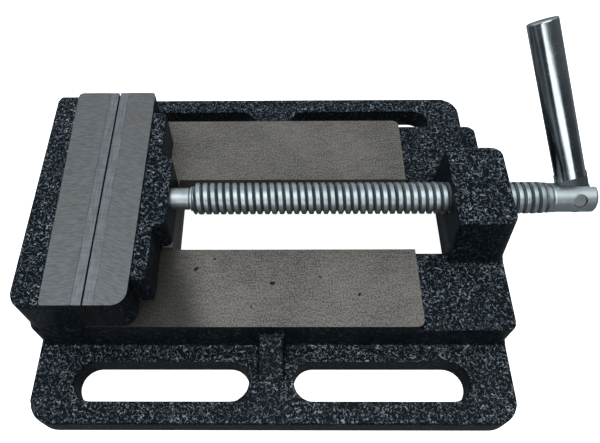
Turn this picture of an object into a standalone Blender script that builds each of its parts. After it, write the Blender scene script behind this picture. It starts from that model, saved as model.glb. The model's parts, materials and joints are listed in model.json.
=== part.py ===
"""Drill press vise: a slotted cast base, a fixed and a sliding jaw, and a screw with a folding handle.

X runs along the screw, from the fixed jaw to the handle. The base stands on Z = 0, and the origin is
under the middle of the vise with its jaws closed. All sizes are in metres.
"""

import math

import bmesh
import bpy
from mathutils import Matrix, Vector

# Clearances between pieces that touch or run in each other
MATING_GAP = 0.0003
SLIDE_GAP = 0.0003
GUIDE_GAP = 0.00045
THREAD_GAP = 0.00035

# Base casting: flange, bed and ways
BASE_LENGTH = 0.1905
FLANGE_THICKNESS = 0.0105
FLANGE_LEDGE = 0.0318
FLANGE_CORNER = 0.010
FLANGE_EDGE = 0.001
SLOT_LEFT_MARGIN = 0.0163
SLOT_RIGHT_MARGIN = 0.0173
SLOT_INNER_MARGIN = 0.0073
SLOT_OUTER_MARGIN = 0.0088
SLOT_WEB = 0.0179
BED_HEIGHT = 0.0261
BED_SIDE_STEP = 0.0004
BED_CORNER = 0.004
BED_EDGE = 0.001
BED_SLAB = 0.008
BED_WALL = 0.008
PAD_RISE = 0.0039
PAD_END_GAP = 0.014
PAD_CORNER = 0.003
GUIDE_WIDTH = 0.0350
RIB_THICKNESS = 0.010
RIB_TOP_DROP = 0.0022
RIB_REACH = 0.0174

# Fixed jaw and nut block, both cast with the base
JAW_WIDTH = 0.1016
JAW_HEIGHT = 0.0199
FIXED_JAW_DEPTH = 0.0236
FIXED_LEDGE_NEAR_DEPTH = 0.0122
FIXED_LEDGE_FAR_DEPTH = 0.0096
FIXED_LEDGE_DROP = 0.0019
FIXED_NEAR_CORNER = 0.006
FIXED_FAR_CORNER = 0.003
BLOCK_DEPTH = 0.0228
BLOCK_TOP_WIDTH = 0.037
BLOCK_FOOT_WIDTH = 0.046
BLOCK_LEAN = 0.0013
BLOCK_CORNER = 0.005
BLOCK_EDGE = 0.002
BLOCK_CROWN = 0.0101

# Jaw plates and their screws
PLATE_THICKNESS = 0.0035
PLATE_CHAMFER = 0.0003
JAW_GAP = 0.00065
PLATE_SCREW_SPACING = 0.060
PLATE_SCREW_RADIUS = 0.003
PLATE_SCREW_LENGTH = 0.013
PLATE_HEAD_RADIUS = 0.0051
PLATE_HEAD_SINK = 0.0003
HEX_SOCKET_RADIUS = 0.0023
HEX_SOCKET_DEPTH = 0.0017

# Movable jaw: milled crown, painted shelf and screw boss
CROWN_DEPTH = 0.0115
CROWN_NEAR_CORNER = 0.0055
CROWN_FAR_CORNER = 0.001
SHELF_DEPTH = 0.006
SHELF_INSET = 0.0107
SHELF_DROP = 0.0012
SHELF_CORNER = 0.003
BOSS_DEPTH = 0.0048
BOSS_WIDTH = 0.0334
BOSS_CORNER = 0.0045
TONGUE_LENGTH = 0.019

# Lead screw
SCREW_RISE = 0.0114
SCREW_REACH = 0.0348
TIP_RADIUS = 0.0045
TIP_CHAMFER = 0.0008
TIP_DEPTH = 0.016
TIP_SHOWN = 0.0085
TIP_BORE_GAP = 0.0004
THREAD_RADIUS = 0.0065
ROOT_RADIUS = 0.005
THREAD_PITCH = 0.003
THREAD_LEAD_IN = 0.001
THREAD_RUN_OUT = 0.006
PLAIN_RADIUS = 0.006
PLAIN_LENGTH = 0.0165
PLAIN_EDGE = 0.0012

# Pins that hold the screw's tip in the jaw
RETAINER_RADIUS = 0.0015
RETAINER_LENGTH = 0.026
GROOVE_RADIUS = 0.0028
GROOVE_SETBACK = 0.0078

# Fork and folding handle
FORK_LENGTH = 0.0152
FORK_SLOT = 0.0056
HINGE_SETBACK = 0.0073
HINGE_PIN_RADIUS = 0.0025
HINGE_PIN_RECESS = 0.0004
HANDLE_RADIUS = 0.0058
HANDLE_LENGTH = 0.0717
HANDLE_EDGE = 0.0008
TONGUE_RADIUS = 0.0056
SHOULDER_START = 0.0088
SHOULDER_SLOPE = 0.286
FORK_TURN = math.radians(-42)
HANDLE_LEAN = math.radians(-17.3)

# Keeper plate, its bolts and washers
KEEPER_LENGTH = 0.0185
KEEPER_WIDTH = 0.060
KEEPER_THICKNESS = 0.006
KEEPER_CORNER = 0.002
BOLT_SPACING = 0.022
BOLT_RADIUS = 0.003
BOLT_ENGAGEMENT = 0.0105
BOLT_HEAD_FLATS = 0.010
BOLT_HEAD_HEIGHT = 0.004
FLAT_WASHER_RADIUS = 0.006
FLAT_WASHER_THICKNESS = 0.0012
SPRING_WASHER_RADIUS = 0.0052
SPRING_WASHER_THICKNESS = 0.0015
SPRING_WASHER_SPLIT = 0.0014

# How finely round shapes are divided
CORNER_STEPS = 4
SMALL_STEPS = 16
ROUND_STEPS = 24
THREAD_STEPS = 16
PAST = 0.002

# Places that several pieces share, worked out from the sizes above
BASE_LEFT = -(BASE_LENGTH + SCREW_REACH) / 2
BASE_RIGHT = BASE_LEFT + BASE_LENGTH
BED_HALF = JAW_WIDTH / 2 + BED_SIDE_STEP
BASE_HALF = BED_HALF + FLANGE_LEDGE
PAD_TOP = BED_HEIGHT + PAD_RISE
RAIL_BOTTOM = BED_HEIGHT - BED_SLAB
JAW_TOP = PAD_TOP + JAW_HEIGHT
SLIDE_BOTTOM = PAD_TOP + SLIDE_GAP
SCREW_Z = PAD_TOP + SCREW_RISE
BLOCK_LEFT = BASE_RIGHT - BLOCK_DEPTH
RISER_FOOT = BED_HEIGHT - BED_SLAB / 2
FIXED_FACE = BASE_LEFT + FIXED_JAW_DEPTH
FIXED_PLATE_LEFT = FIXED_FACE + MATING_GAP
MOVABLE_PLATE_LEFT = FIXED_PLATE_LEFT + PLATE_THICKNESS + JAW_GAP
MOVABLE_FACE = MOVABLE_PLATE_LEFT + PLATE_THICKNESS + MATING_GAP
CROWN_RIGHT = MOVABLE_FACE + CROWN_DEPTH
SHELF_RIGHT = CROWN_RIGHT + SHELF_DEPTH
BOSS_RIGHT = SHELF_RIGHT + BOSS_DEPTH
TONGUE_LEFT = BOSS_RIGHT - TONGUE_LENGTH
PLATE_MIDDLE = (SLIDE_BOTTOM + JAW_TOP) / 2
TIP_LEFT = BOSS_RIGHT - TIP_DEPTH
GROOVE_X = BOSS_RIGHT - GROOVE_SETBACK
GROOVE_HALF = RETAINER_RADIUS + MATING_GAP
RETAINER_Y = GROOVE_RADIUS + MATING_GAP + RETAINER_RADIUS
RETAINER_TOP = SCREW_Z + TIP_RADIUS
THREAD_LEFT = BOSS_RIGHT + TIP_SHOWN
SCREW_RIGHT = BASE_RIGHT + SCREW_REACH
THREAD_RIGHT = SCREW_RIGHT - PLAIN_LENGTH
HINGE_X = SCREW_RIGHT - HINGE_SETBACK
BOLT_X = BOSS_RIGHT - TONGUE_LENGTH / 2
KEEPER_TOP = RAIL_BOTTOM - SLIDE_GAP
KEEPER_BOTTOM = KEEPER_TOP - KEEPER_THICKNESS


def clear_scene():
    for obj in list(bpy.data.objects):
        bpy.data.objects.remove(obj, do_unlink=True)


# Shapes

def rounded(corners, steps=CORNER_STEPS):
    """Outline through the corners (u, v, radius), each rounded by an arc of its own radius."""
    points = []
    for index, (u, v, radius) in enumerate(corners):
        corner = Vector((u, v))
        if radius == 0:
            points.append(corner)
            continue
        before = (Vector(corners[index - 1][:2]) - corner).normalized()
        after = (Vector(corners[(index + 1) % len(corners)][:2]) - corner).normalized()
        half = before.angle(after) / 2
        centre = corner + (before + after).normalized() * radius / math.sin(half)
        start = corner + before * radius / math.tan(half) - centre
        finish = corner + after * radius / math.tan(half) - centre
        first = math.atan2(start.y, start.x)
        sweep = math.remainder(math.atan2(finish.y, finish.x) - first, 2 * math.pi)
        for step in range(steps + 1):
            angle = first + sweep * step / steps
            points.append(centre + radius * Vector((math.cos(angle), math.sin(angle))))
    return points


def rectangle(left, right, near, far, left_radius=0, right_radius=0, steps=CORNER_STEPS):
    """Rectangle outline with one corner radius at its left end and one at its right end."""
    corners = [
        (left, near, left_radius),
        (right, near, right_radius),
        (right, far, right_radius),
        (left, far, left_radius),
    ]
    return rounded(corners, steps)


def slot_outline(left, right, middle, width, steps):
    """Slot with full round ends."""
    points = []
    radius = width / 2
    for centre, first in ((right - radius, -math.pi / 2), (left + radius, math.pi / 2)):
        for step in range(steps + 1):
            angle = first + math.pi * step / steps
            points.append(Vector((centre + radius * math.cos(angle), middle + radius * math.sin(angle))))
    return points


def regular(sides, radius, start=0):
    """Outline of a regular polygon, by the radius of its corners."""
    turns = [start + 2 * math.pi * side / sides for side in range(sides)]
    return [Vector((radius * math.cos(turn), radius * math.sin(turn))) for turn in turns]


def circle_around(radius, sides=ROUND_STEPS):
    """Outline whose flats lie at the radius, so that a shaft of that radius passes."""
    return regular(sides, radius / math.cos(math.pi / sides))


def moved(outline, u, v):
    return [Vector((point.x + u, point.y + v)) for point in outline]


def mesh_object(name, bm):
    bmesh.ops.recalc_face_normals(bm, faces=bm.faces)
    mesh = bpy.data.meshes.new(name)
    bm.to_mesh(mesh)
    bm.free()
    mesh.shade_smooth()
    mesh.set_sharp_from_angle(angle=math.radians(35))
    obj = bpy.data.objects.new(name, mesh)
    bpy.context.collection.objects.link(obj)
    return obj


def prism(name, outline, low, high, axis="Z"):
    """The outline extruded along an axis. It lies in XY for Z, in XZ for Y and in YZ for X."""
    place = {
        "X": lambda point, height: (height, point.x, point.y),
        "Y": lambda point, height: (point.x, height, point.y),
        "Z": lambda point, height: (point.x, point.y, height),
    }[axis]
    bm = bmesh.new()
    bottom = bm.faces.new([bm.verts.new(place(point, low)) for point in outline])
    top = bmesh.ops.extrude_face_region(bm, geom=[bottom])
    raised = [item for item in top["geom"] if isinstance(item, bmesh.types.BMVert)]
    travel = Vector(place(Vector((0, 0)), high - low))
    bmesh.ops.translate(bm, vec=travel, verts=raised)
    return mesh_object(name, bm)


def soften_top(obj, width, segments=2):
    """Rounds the rim of the object's highest flat face."""
    bm = bmesh.new()
    bm.from_mesh(obj.data)
    top = max(vert.co.z for vert in bm.verts)
    rim = [edge for edge in bm.edges if all(abs(vert.co.z - top) < 1e-6 for vert in edge.verts)]
    bmesh.ops.bevel(bm, geom=rim, offset=width, segments=segments, profile=0.5, affect="EDGES")
    bm.to_mesh(obj.data)
    bm.free()


def add_rings(bm, profile, steps, cap_first=False, cap_last=False):
    """Surface turned about X from the profile's points (x, radius)."""
    rings = []
    for x, radius in profile:
        angles = [2 * math.pi * step / steps for step in range(steps)]
        rings.append([bm.verts.new((x, radius * math.cos(a), radius * math.sin(a))) for a in angles])
    for ring, following in zip(rings, rings[1:]):
        for step in range(steps):
            other = (step + 1) % steps
            bm.faces.new((ring[step], ring[other], following[other], following[step]))
    if cap_first:
        bm.faces.new(rings[0])
    if cap_last:
        bm.faces.new(rings[-1])


def turned(name, profile, steps=SMALL_STEPS):
    bm = bmesh.new()
    add_rings(bm, profile, steps, cap_first=True, cap_last=True)
    return mesh_object(name, bm)


def combine(obj, other, operation):
    modifier = obj.modifiers.new(other.name, "BOOLEAN")
    modifier.object = other
    modifier.operation = operation
    other.hide_render = True
    other.hide_set(True)
    other.display_type = "WIRE"


def cut(obj, *cutters):
    for cutter in cutters:
        combine(obj, cutter, "DIFFERENCE")


def add(obj, *others):
    for other in others:
        combine(obj, other, "UNION")


def finish(obj, colour, roughness, metallic):
    material = bpy.data.materials.new(obj.name)
    material.use_nodes = True
    shader = material.node_tree.nodes["Principled BSDF"]
    shader.inputs["Base Color"].default_value = (*colour, 1)
    shader.inputs["Roughness"].default_value = roughness
    shader.inputs["Metallic"].default_value = metallic
    obj.data.materials.clear()
    obj.data.materials.append(material)


def painted_iron(obj):
    finish(obj, (0.030, 0.035, 0.045), 0.35, 0.0)


def ground_steel(obj):
    finish(obj, (0.36, 0.35, 0.36), 0.38, 1.0)


def zinc_plate(obj):
    finish(obj, (0.72, 0.74, 0.76), 0.22, 1.0)


def black_steel(obj):
    finish(obj, (0.06, 0.06, 0.065), 0.45, 1.0)


# Holes that two pieces share

def plate_screw_places():
    """(side, y) of the screws of a jaw plate."""
    return (("near", -PLATE_SCREW_SPACING / 2), ("far", PLATE_SCREW_SPACING / 2))


def plate_screw_hole(name, y, start, end):
    """Hole for a plate screw's shank, from x = start to x = end."""
    outline = moved(circle_around(PLATE_SCREW_RADIUS + MATING_GAP, SMALL_STEPS), y, PLATE_MIDDLE)
    return prism(name, outline, min(start, end), max(start, end), "X")


def screw_bore(name, radius, left, right):
    """Round bore about the screw's axis."""
    return prism(name, moved(circle_around(radius), 0, SCREW_Z), left, right, "X")


def bolt_places():
    return (("near", -BOLT_SPACING / 2), ("far", BOLT_SPACING / 2))


def retainer_places():
    return (("near", -RETAINER_Y), ("far", RETAINER_Y))


# Base casting

def slot_cutters():
    length = (BASE_LENGTH - SLOT_LEFT_MARGIN - SLOT_RIGHT_MARGIN - SLOT_WEB) / 2
    width = FLANGE_LEDGE - SLOT_INNER_MARGIN - SLOT_OUTER_MARGIN
    first = BASE_LEFT + SLOT_LEFT_MARGIN
    cutters = []
    for side in (-1, 1):
        for left in (first, first + length + SLOT_WEB):
            middle = side * (BED_HALF + SLOT_INNER_MARGIN + width / 2)
            outline = slot_outline(left, left + length, middle, width, 2 * CORNER_STEPS)
            cutters.append(prism("slot_cutter", outline, -PAST, FLANGE_THICKNESS + PAST))
    return cutters


def rib(side):
    """Gusset between the two slots of one side, from the bed's wall down to the flange."""
    length = (BASE_LENGTH - SLOT_LEFT_MARGIN - SLOT_RIGHT_MARGIN - SLOT_WEB) / 2
    middle = BASE_LEFT + SLOT_LEFT_MARGIN + length + SLOT_WEB / 2
    inner = BED_HALF - BED_WALL / 2
    outline = [
        Vector((side * inner, BED_HEIGHT - RIB_TOP_DROP)),
        Vector((side * BED_HALF, BED_HEIGHT - RIB_TOP_DROP)),
        Vector((side * (BED_HALF + RIB_REACH), FLANGE_THICKNESS)),
        Vector((side * (BED_HALF + RIB_REACH), FLANGE_THICKNESS / 2)),
        Vector((side * inner, FLANGE_THICKNESS / 2)),
    ]
    return prism("rib", outline, middle - RIB_THICKNESS / 2, middle + RIB_THICKNESS / 2, "X")


def pad():
    """Raised strip over both ways: the guide opening is cut through it later."""
    right = BLOCK_LEFT - PAD_END_GAP
    left = FIXED_FACE - PAST
    outline = rectangle(left, right, -BED_HALF, BED_HALF, 0, PAD_CORNER)
    return prism("pad", outline, RISER_FOOT, PAD_TOP)


def nut_block():
    """Block that the screw's nut thread is cut in. It narrows upwards and leans a little to the left."""
    outline = rectangle(BLOCK_LEFT, BASE_RIGHT, -BLOCK_FOOT_WIDTH / 2, BLOCK_FOOT_WIDTH / 2, 0, BLOCK_CORNER)
    obj = prism("nut_block", outline, RISER_FOOT, SCREW_Z + BLOCK_CROWN)
    shrink = BLOCK_TOP_WIDTH / BLOCK_FOOT_WIDTH
    for vert in obj.data.vertices:
        if vert.co.z > SCREW_Z:
            vert.co.y *= shrink
            vert.co.x -= BLOCK_LEAN
    soften_top(obj, BLOCK_EDGE)
    return obj


def block_face(height):
    """x of the nut block's leaning left face at a height."""
    return BLOCK_LEFT - BLOCK_LEAN * (height - RISER_FOOT) / (SCREW_Z + BLOCK_CROWN - RISER_FOOT)


def guide_opening():
    """Slot between the two ways, from under the closed jaws to the nut block's face."""
    left = TONGUE_LEFT - MATING_GAP - PAST
    bottom = RAIL_BOTTOM - PAST
    top = PAD_TOP + PAST
    outline = [
        Vector((left, bottom)),
        Vector((block_face(bottom), bottom)),
        Vector((block_face(top), top)),
        Vector((left, top)),
    ]
    return prism("guide_opening", outline, -GUIDE_WIDTH / 2, GUIDE_WIDTH / 2, "Y")


def base_casting():
    outline = rectangle(BASE_LEFT, BASE_RIGHT, -BASE_HALF, BASE_HALF, FLANGE_CORNER, FLANGE_CORNER)
    obj = prism("base_casting", outline, 0, FLANGE_THICKNESS)
    soften_top(obj, FLANGE_EDGE)

    bed = prism("bed", rectangle(BASE_LEFT, BASE_RIGHT, -BED_HALF, BED_HALF, BED_CORNER, BED_CORNER),
                FLANGE_THICKNESS / 2, BED_HEIGHT)
    soften_top(bed, BED_EDGE)

    jaw_half = JAW_WIDTH / 2
    ledge = prism("fixed_ledge", rounded([
        (BASE_LEFT, -jaw_half, FIXED_NEAR_CORNER),
        (FIXED_FACE, -jaw_half, 0),
        (FIXED_FACE, jaw_half, 0),
        (BASE_LEFT, jaw_half, FIXED_FAR_CORNER),
    ]), RISER_FOOT, JAW_TOP - FIXED_LEDGE_DROP)
    crown = prism("fixed_crown", rounded([
        (BASE_LEFT + FIXED_LEDGE_NEAR_DEPTH, -jaw_half, 0),
        (FIXED_FACE, -jaw_half, 0),
        (FIXED_FACE, jaw_half, 0),
        (BASE_LEFT + FIXED_LEDGE_FAR_DEPTH, jaw_half, FIXED_LEDGE_DROP),
    ]), BED_HEIGHT, JAW_TOP)
    add(obj, bed, ledge, crown, pad(), nut_block(), rib(-1), rib(1))

    hollow = rectangle(BASE_LEFT + BED_WALL, BASE_RIGHT - BED_WALL, BED_WALL - BED_HALF, BED_HALF - BED_WALL,
                       BED_CORNER, BED_CORNER)
    cut(obj, prism("hollow", hollow, -PAST, RAIL_BOTTOM), guide_opening(), *slot_cutters())
    cut(obj, screw_bore("nut_bore", THREAD_RADIUS + THREAD_GAP, BLOCK_LEFT - PAST, BASE_RIGHT + PAST))
    for side, y in plate_screw_places():
        depth = PLATE_SCREW_LENGTH - PLATE_THICKNESS
        cut(obj, plate_screw_hole("fixed_hole_" + side, y, FIXED_FACE + PAST, FIXED_FACE - depth))
    painted_iron(obj)
    return obj


# Movable jaw

def movable_jaw():
    half = JAW_WIDTH / 2
    obj = prism("movable_jaw", rounded([
        (MOVABLE_FACE, -half, 0),
        (CROWN_RIGHT, -half, CROWN_NEAR_CORNER),
        (CROWN_RIGHT, half, CROWN_FAR_CORNER),
        (MOVABLE_FACE, half, 0),
    ]), SLIDE_BOTTOM, JAW_TOP)
    shelf_half = half - SHELF_INSET
    shelf = prism("shelf", rectangle(CROWN_RIGHT - CROWN_DEPTH / 2, SHELF_RIGHT, -shelf_half, shelf_half, 0,
                                     SHELF_CORNER), SLIDE_BOTTOM, JAW_TOP - SHELF_DROP)
    boss_half = BOSS_WIDTH / 2
    boss = prism("boss", rectangle(CROWN_RIGHT - CROWN_DEPTH / 4, BOSS_RIGHT, -boss_half, boss_half, 0,
                                   BOSS_CORNER), SLIDE_BOTTOM, JAW_TOP - SHELF_DROP)
    tongue_half = GUIDE_WIDTH / 2 - GUIDE_GAP
    tongue = prism("tongue", rectangle(TONGUE_LEFT, BOSS_RIGHT, -tongue_half, tongue_half),
                   RAIL_BOTTOM, SLIDE_BOTTOM + PAST)
    add(obj, shelf, boss, tongue)

    cut(obj, screw_bore("tip_bore", TIP_RADIUS + TIP_BORE_GAP, TIP_LEFT - MATING_GAP, BOSS_RIGHT + PAST))
    for side, y in plate_screw_places():
        depth = PLATE_SCREW_LENGTH - PLATE_THICKNESS
        cut(obj, plate_screw_hole("movable_hole_" + side, y, MOVABLE_FACE - PAST, MOVABLE_FACE + depth))
    for side, y in retainer_places():
        outline = moved(circle_around(RETAINER_RADIUS + MATING_GAP, SMALL_STEPS), GROOVE_X, y)
        cut(obj, prism("retainer_hole_" + side, outline, RAIL_BOTTOM - PAST, RETAINER_TOP + MATING_GAP))
    for side, y in bolt_places():
        outline = moved(circle_around(BOLT_RADIUS + MATING_GAP, SMALL_STEPS), BOLT_X, y)
        cut(obj, prism("bolt_hole_" + side, outline, RAIL_BOTTOM - PAST,
                       RAIL_BOTTOM + BOLT_ENGAGEMENT + MATING_GAP))
    painted_iron(obj)
    return obj


# Jaw plates and their countersunk screws

def head_height():
    return PLATE_HEAD_RADIUS - PLATE_SCREW_RADIUS


def jaw_plate(name, left, front):
    """Plate whose screws enter from the side that front points to, along X."""
    half = JAW_WIDTH / 2
    bm = bmesh.new()
    bmesh.ops.create_cube(bm, size=1)
    bmesh.ops.scale(bm, vec=(PLATE_THICKNESS, 2 * half, JAW_TOP - SLIDE_BOTTOM), verts=bm.verts)
    bmesh.ops.translate(bm, vec=(left + PLATE_THICKNESS / 2, 0, PLATE_MIDDLE), verts=bm.verts)
    bmesh.ops.bevel(bm, geom=bm.edges[:], offset=PLATE_CHAMFER, segments=1, affect="EDGES")
    obj = mesh_object(name, bm)
    face = left + PLATE_THICKNESS * (front + 1) / 2
    shank = PLATE_SCREW_RADIUS + MATING_GAP
    rim = PLATE_HEAD_RADIUS + MATING_GAP
    sink = PLATE_HEAD_SINK + MATING_GAP
    for side, y in plate_screw_places():
        profile = [
            (face + front * PAST, rim),
            (face - front * sink, rim),
            (face - front * (sink + rim - shank), shank),
            (face - front * (PLATE_THICKNESS + PAST), shank),
        ]
        hole = turned(name + "_hole_" + side, profile)
        hole.location = (0, y, PLATE_MIDDLE)
        cut(obj, hole)
    ground_steel(obj)
    return obj


def plate_screw(name, plate_left, front, y):
    """Countersunk screw with a hex socket, its head just below the plate's face."""
    face = plate_left + PLATE_THICKNESS * (front + 1) / 2
    top = face - front * PLATE_HEAD_SINK
    end = face - front * (PLATE_SCREW_LENGTH - MATING_GAP)
    profile = [
        (top, PLATE_HEAD_RADIUS),
        (top - front * MATING_GAP, PLATE_HEAD_RADIUS),
        (top - front * (MATING_GAP + head_height()), PLATE_SCREW_RADIUS),
        (end, PLATE_SCREW_RADIUS),
    ]
    obj = turned(name, profile)
    low, high = sorted((top + front * PAST, top - front * HEX_SOCKET_DEPTH))
    cut(obj, prism(name + "_socket", regular(6, HEX_SOCKET_RADIUS), low, high, "X"))
    obj.location = (0, y, PLATE_MIDDLE)
    for modifier in obj.modifiers:
        modifier.object.location = obj.location
    black_steel(obj)
    return obj


# Lead screw, its pins and the handle

def thread_point(x, radius):
    """Radius of a thread point at x, sunk into the core at the start and into the plain end."""
    lead_in = min(1, max(0, (x - THREAD_LEFT) / THREAD_LEAD_IN))
    run_out = min(1, max(0, (THREAD_RIGHT - x) / THREAD_RUN_OUT))
    started = ROOT_RADIUS + (radius - ROOT_RADIUS) * lead_in
    return PLAIN_RADIUS + (started - PLAIN_RADIUS) * run_out


def add_thread(bm):
    """Right-hand thread about X. Points of a turn's profile that fall past either end gather on its ring."""
    profile = ((0.0, ROOT_RADIUS), (0.32, THREAD_RADIUS), (0.62, THREAD_RADIUS))
    rows = len(profile)
    turns = math.ceil((THREAD_RIGHT - THREAD_LEFT) / THREAD_PITCH) + 2
    columns = []
    for column in range(THREAD_STEPS):
        angle = 2 * math.pi * column / THREAD_STEPS
        verts = []
        for row in range(turns * rows + 1):
            share, radius = profile[row % rows]
            x = THREAD_LEFT + THREAD_PITCH * (row // rows - 1 + share + column / THREAD_STEPS)
            x = min(max(x, THREAD_LEFT), THREAD_RIGHT)
            radius = thread_point(x, radius)
            verts.append(bm.verts.new((x, radius * math.cos(angle), radius * math.sin(angle))))
        columns.append(verts)
    columns.append(columns[0][rows:])
    for verts, following in zip(columns, columns[1:]):
        for row in range((turns - 1) * rows):
            bm.faces.new((verts[row], following[row], following[row + 1], verts[row + 1]))


def lead_screw(parent):
    """Built about its own axis: the parent carries its height and turn."""
    groove_left = GROOVE_X - GROOVE_HALF
    groove_right = GROOVE_X + GROOVE_HALF
    tip = [
        (TIP_LEFT, TIP_RADIUS - TIP_CHAMFER),
        (TIP_LEFT + TIP_CHAMFER, TIP_RADIUS),
        (groove_left, TIP_RADIUS),
        (groove_left, GROOVE_RADIUS),
        (groove_right, GROOVE_RADIUS),
        (groove_right, TIP_RADIUS),
        (THREAD_LEFT, TIP_RADIUS),
        (THREAD_LEFT, ROOT_RADIUS),
    ]
    plain = [(THREAD_RIGHT, PLAIN_RADIUS)]
    for step in range(CORNER_STEPS + 1):
        angle = math.pi / 2 * step / CORNER_STEPS
        x = SCREW_RIGHT - PLAIN_EDGE * (1 - math.sin(angle))
        plain.append((x, PLAIN_RADIUS - PLAIN_EDGE * (1 - math.cos(angle))))
    bm = bmesh.new()
    add_rings(bm, tip, THREAD_STEPS, cap_first=True)
    add_thread(bm)
    add_rings(bm, plain, THREAD_STEPS, cap_last=True)
    bmesh.ops.remove_doubles(bm, verts=bm.verts, dist=1e-7)
    obj = mesh_object("lead_screw", bm)
    slot = rectangle(SCREW_RIGHT - FORK_LENGTH, SCREW_RIGHT + PAST, -PLAIN_RADIUS - PAST, PLAIN_RADIUS + PAST)
    slot_cutter = prism("fork_slot", slot, -FORK_SLOT / 2, FORK_SLOT / 2, "Y")
    hole = moved(circle_around(HINGE_PIN_RADIUS + MATING_GAP, SMALL_STEPS), HINGE_X, 0)
    hole_cutter = prism("fork_hole", hole, -PLAIN_RADIUS - PAST, PLAIN_RADIUS + PAST, "Y")
    cut(obj, slot_cutter, hole_cutter)
    for piece in (obj, slot_cutter, hole_cutter):
        piece.parent = parent
    zinc_plate(obj)
    return obj


def hinge_pin(parent):
    outline = moved(regular(SMALL_STEPS, HINGE_PIN_RADIUS), HINGE_X, 0)
    half = PLAIN_RADIUS - HINGE_PIN_RECESS
    obj = prism("hinge_pin", outline, -half, half, "Y")
    obj.parent = parent
    zinc_plate(obj)
    return obj


def handle_bar(parent):
    """Round bar along its own Z, with a flat tongue about the pin. The parent stands on the pin's axis."""
    profile = [(0, HANDLE_RADIUS)]
    for step in range(CORNER_STEPS + 1):
        angle = math.pi / 2 * step / CORNER_STEPS
        height = HANDLE_LENGTH - HANDLE_EDGE * (1 - math.sin(angle))
        profile.append((height, HANDLE_RADIUS - HANDLE_EDGE * (1 - math.cos(angle))))
    obj = turned("handle_bar", profile, ROUND_STEPS)
    obj.data.transform(Matrix.Rotation(-math.pi / 2, 4, "Y"))
    half = FORK_SLOT / 2 - MATING_GAP
    wide = HANDLE_RADIUS + PAST
    shoulder_end = SHOULDER_START + (wide - half) * SHOULDER_SLOPE
    relief = [
        Vector((-wide, -PAST)),
        Vector((wide, -PAST)),
        Vector((wide, shoulder_end)),
        Vector((half, SHOULDER_START)),
        Vector((-half, SHOULDER_START)),
        Vector((-wide, shoulder_end)),
    ]
    relief_cutter = prism("shoulder_cutter", relief, -wide, wide, "X")
    top = SHOULDER_START + PAST
    tongue = rounded([
        (-TONGUE_RADIUS, top, 0),
        (-TONGUE_RADIUS, -TONGUE_RADIUS, TONGUE_RADIUS),
        (TONGUE_RADIUS, -TONGUE_RADIUS, TONGUE_RADIUS),
        (TONGUE_RADIUS, top, 0),
    ], 2 * CORNER_STEPS)
    blade = prism("handle_tongue", tongue, -half, half, "Y")
    hole = prism("handle_hole", circle_around(HINGE_PIN_RADIUS + MATING_GAP, SMALL_STEPS), -wide, wide, "Y")
    cut(obj, relief_cutter)
    add(obj, blade)
    cut(obj, hole)
    for piece in (obj, relief_cutter, blade, hole):
        piece.parent = parent
        piece.rotation_euler = (0, HANDLE_LEAN, 0)
    zinc_plate(obj)
    return obj


def screw_and_handle():
    """The screw turns about screw_axis and the handle folds about handle_axis."""
    screw_axis = bpy.data.objects.new("screw_axis", None)
    screw_axis.location = (0, 0, SCREW_Z)
    screw_axis.rotation_euler = (FORK_TURN, 0, 0)
    bpy.context.collection.objects.link(screw_axis)
    handle_axis = bpy.data.objects.new("handle_axis", None)
    handle_axis.parent = screw_axis
    handle_axis.location = (HINGE_X, 0, 0)
    bpy.context.collection.objects.link(handle_axis)
    lead_screw(screw_axis)
    hinge_pin(screw_axis)
    handle_bar(handle_axis)


def retaining_pins():
    for side, y in retainer_places():
        outline = moved(regular(SMALL_STEPS, RETAINER_RADIUS), GROOVE_X, y)
        obj = prism("retaining_pin_" + side, outline, RETAINER_TOP - RETAINER_LENGTH, RETAINER_TOP)
        ground_steel(obj)


# Keeper plate, bolts and washers

def keeper_plate():
    half = KEEPER_WIDTH / 2
    left = BOSS_RIGHT - KEEPER_LENGTH
    obj = prism("keeper_plate", rectangle(left, BOSS_RIGHT, -half, half, KEEPER_CORNER, KEEPER_CORNER),
                KEEPER_BOTTOM, KEEPER_TOP)
    for side, y in bolt_places():
        outline = moved(circle_around(BOLT_RADIUS + MATING_GAP, SMALL_STEPS), BOLT_X, y)
        cut(obj, prism("keeper_hole_" + side, outline, KEEPER_BOTTOM - PAST, KEEPER_TOP + PAST))
    ground_steel(obj)
    return obj


def washer(name, radius, top, thickness, y):
    """Ring around a keeper bolt."""
    obj = prism(name, moved(regular(SMALL_STEPS, radius), BOLT_X, y), top - thickness, top)
    hole = moved(circle_around(BOLT_RADIUS + MATING_GAP, SMALL_STEPS), BOLT_X, y)
    cut(obj, prism(name + "_hole", hole, top - thickness - PAST, top + PAST))
    zinc_plate(obj)
    return obj


def keeper_bolt(name, head_top, y):
    """Hex bolt that enters the jaw's tongue from below."""
    corner = BOLT_HEAD_FLATS / 2 / math.cos(math.pi / 6)
    obj = prism(name, moved(regular(6, corner), BOLT_X, y), head_top - BOLT_HEAD_HEIGHT, head_top)
    shank = prism(name + "_shank", moved(regular(SMALL_STEPS, BOLT_RADIUS), BOLT_X, y),
                  head_top - BOLT_HEAD_HEIGHT / 2, RAIL_BOTTOM + BOLT_ENGAGEMENT)
    add(obj, shank)
    zinc_plate(obj)
    return obj


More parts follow.
